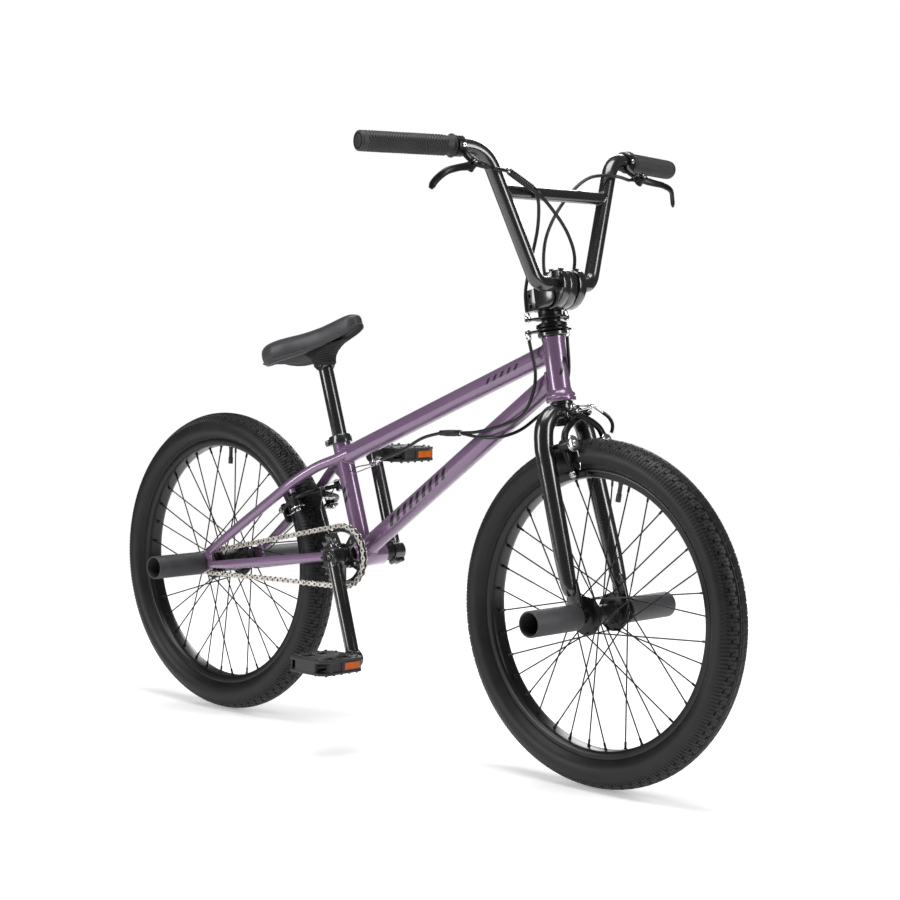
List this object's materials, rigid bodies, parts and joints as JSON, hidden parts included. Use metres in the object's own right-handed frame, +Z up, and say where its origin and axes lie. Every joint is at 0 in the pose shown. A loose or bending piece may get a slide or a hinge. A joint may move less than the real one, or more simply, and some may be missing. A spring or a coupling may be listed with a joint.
{
  "type": "bmx bike",
  "caption": "Freestyle BMX bike with high-rise bars, gyro cable detangler, front and rear U-brakes, tubular cranks, hollow axle pegs, platform pedals and a padded saddle.",
  "frame": {"origin": "on the ground, midway between the two wheel axles, in the bike's middle plane", "axes": "+X points forward to the front wheel, +Y to the rider's left, +Z up"},
  "size_m": [1.3368, 0.6928, 0.9346],
  "materials": {
    "frame_mauve": "metallic gloss",
    "gloss_black": "gloss",
    "black_alloy": "satin anodised",
    "rim_black": "satin",
    "tyre_black": "matte",
    "grip_rubber": "matte",
    "cable_black": "satin",
    "peg_grey": "fine texture",
    "steel": "bright",
    "chain_nickel": "bright",
    "pedal_resin": "satin",
    "saddle_cover": "satin"
  },
  "bodies": {
    "frame": {"head_tube": "frame_mauve", "headset_bearing_lower": "steel", "headset_bearing_upper": "gloss_black", "gyro_lower_plate": "black_alloy", "top_tube": "frame_mauve", "down_tube": "frame_mauve", "seat_tube": "frame_mauve", "bb_shell": "frame_mauve", "seat_stay_right": "frame_mauve", "seat_stay_left": "frame_mauve", "chain_stay_right": "frame_mauve", "chain_stay_left": "frame_mauve", "rear_axle": "steel", "rear_peg_right": "peg_grey", "rear_peg_left": "peg_grey", "chain": "chain_nickel", "bb_cartridge": "steel", "seat_clamp": "gloss_black", "lower_brake_cable": "cable_black"},
    "fork": {"fork_steerer": "gloss_black", "fork_leg_right": "gloss_black", "fork_leg_left": "gloss_black", "stem": "gloss_black", "stem_faceplate": "gloss_black", "handlebar": "gloss_black", "grip_right": "grip_rubber", "grip_left": "grip_rubber", "lever_clamp_right": "black_alloy", "lever_clamp_left": "black_alloy", "gyro_upper_plate": "black_alloy", "upper_brake_cable": "cable_black", "front_brake_cable": "cable_black", "front_axle": "steel", "front_peg_right": "peg_grey", "front_peg_left": "peg_grey"},
    "gyro": {"gyro_bearing": "black_alloy"},
    "lever_right": {"brake_lever_right": "black_alloy"},
    "lever_left": {"brake_lever_left": "black_alloy"},
    "front_arm_right": {"front_brake_arm_right": "black_alloy"},
    "front_arm_left": {"front_brake_arm_left": "black_alloy"},
    "rear_arm_right": {"rear_brake_arm_right": "black_alloy"},
    "rear_arm_left": {"rear_brake_arm_left": "black_alloy"},
    "front_wheel": {"front_tyre": "tyre_black", "front_rim": "rim_black", "front_spokes": "rim_black", "front_hub": "black_alloy"},
    "rear_wheel": {"rear_tyre": "tyre_black", "rear_rim": "rim_black", "rear_spokes": "rim_black", "rear_hub": "black_alloy"},
    "cog": {"rear_cog": "steel"},
    "crank": {"crank_spindle": "steel", "sprocket": "gloss_black", "crank_arm_right": "gloss_black", "crank_arm_left": "gloss_black"},
    "pedal_right_body": {"pedal_right": "pedal_resin"},
    "pedal_left_body": {"pedal_left": "pedal_resin"},
    "post": {"seat_post": "gloss_black"},
    "seat": {"saddle": "saddle_cover", "saddle_base": "pedal_resin"}
  },
  "joints": [
    {"name": "steering", "type": "hinge", "parent": "frame", "child": "fork", "pos_m": [0.3319, 0, 0.5575], "axis": [-0.1908, 0, 0.9816], "continuous": true},
    {"name": "gyro_slide", "type": "slide", "parent": "fork", "child": "gyro", "axis": [-0.1908, 0, 0.9816], "range_m": [0, 0.004]},
    {"name": "right_lever", "type": "hinge", "parent": "fork", "child": "lever_right", "pos_m": [0.32232, -0.188, 0.88978], "axis": [-0.7547, 0, -0.6561], "range_deg": [0, 22], "stiffness_Nm_per_rad": 1.2, "springref_deg": -8.59},
    {"name": "left_lever", "type": "hinge", "parent": "fork", "child": "lever_left", "pos_m": [0.32232, 0.188, 0.88978], "axis": [0.7547, 0, 0.6561], "range_deg": [0, 22], "stiffness_Nm_per_rad": 1.2, "springref_deg": -8.59},
    {"name": "front_arm_right_pivot", "type": "hinge", "parent": "fork", "child": "front_arm_right", "pos_m": [0.37851, -0.038, 0.49824], "axis": [0.9684, 0, 0.2494], "range_deg": [0, 3.3]},
    {"name": "front_arm_left_pivot", "type": "hinge", "parent": "fork", "child": "front_arm_left", "pos_m": [0.37851, 0.038, 0.49824], "axis": [-0.9684, 0, -0.2494], "range_deg": [0, 3.3]},
    {"name": "rear_arm_right_pivot", "type": "hinge", "parent": "frame", "child": "rear_arm_right", "pos_m": [-0.19795, -0.038, 0.3723], "axis": [0.4828, 0, -0.8757], "range_deg": [0, 3.3]},
    {"name": "rear_arm_left_pivot", "type": "hinge", "parent": "frame", "child": "rear_arm_left", "pos_m": [-0.19795, 0.038, 0.3723], "axis": [-0.4828, 0, 0.8757], "range_deg": [0, 3.3]},
    {"name": "front_wheel_spin", "type": "hinge", "parent": "fork", "child": "front_wheel", "pos_m": [0.4125, 0, 0.254], "axis": [0, 1, 0], "continuous": true},
    {"name": "rear_wheel_spin", "type": "hinge", "parent": "frame", "child": "rear_wheel", "pos_m": [-0.4125, 0, 0.254], "axis": [0, 1, 0], "continuous": true},
    {"name": "crank_spin", "type": "hinge", "parent": "frame", "child": "crank", "pos_m": [-0.076, 0, 0.296], "axis": [0, 1, 0], "continuous": true},
    {"name": "cog_spin", "type": "hinge", "parent": "frame", "child": "cog", "pos_m": [-0.4125, 0, 0.254], "axis": [0, 1, 0], "continuous": true},
    {"name": "pedal_right_spin", "type": "hinge", "parent": "crank", "child": "pedal_right_body", "pos_m": [-0.01419, -0.14, 0.14302], "axis": [0, 1, 0], "continuous": true},
    {"name": "pedal_left_spin", "type": "hinge", "parent": "crank", "child": "pedal_left_body", "pos_m": [-0.13781, 0.14, 0.44898], "axis": [0, 1, 0], "continuous": true},
    {"name": "seat_height", "type": "slide", "parent": "frame", "child": "post", "axis": [-0.309, 0, 0.9511], "range_m": [-0.06, 0.05]},
    {"name": "saddle_tilt", "type": "hinge", "parent": "post", "child": "seat", "pos_m": [-0.17427, 0, 0.59844], "axis": [0, 1, 0], "range_deg": [-15, 15]}
  ],
  "couplings": [
    {"joint": "gyro_slide", "follows": "right_lever", "m_per_rad": 0.0104},
    {"joint": "rear_arm_right_pivot", "follows": "right_lever", "ratio": 0.15},
    {"joint": "rear_arm_left_pivot", "follows": "right_lever", "ratio": 0.15},
    {"joint": "front_arm_right_pivot", "follows": "left_lever", "ratio": 0.15},
    {"joint": "front_arm_left_pivot", "follows": "left_lever", "ratio": 0.15},
    {"joint": "cog_spin", "follows": "crank_spin", "ratio": 3}
  ]
}
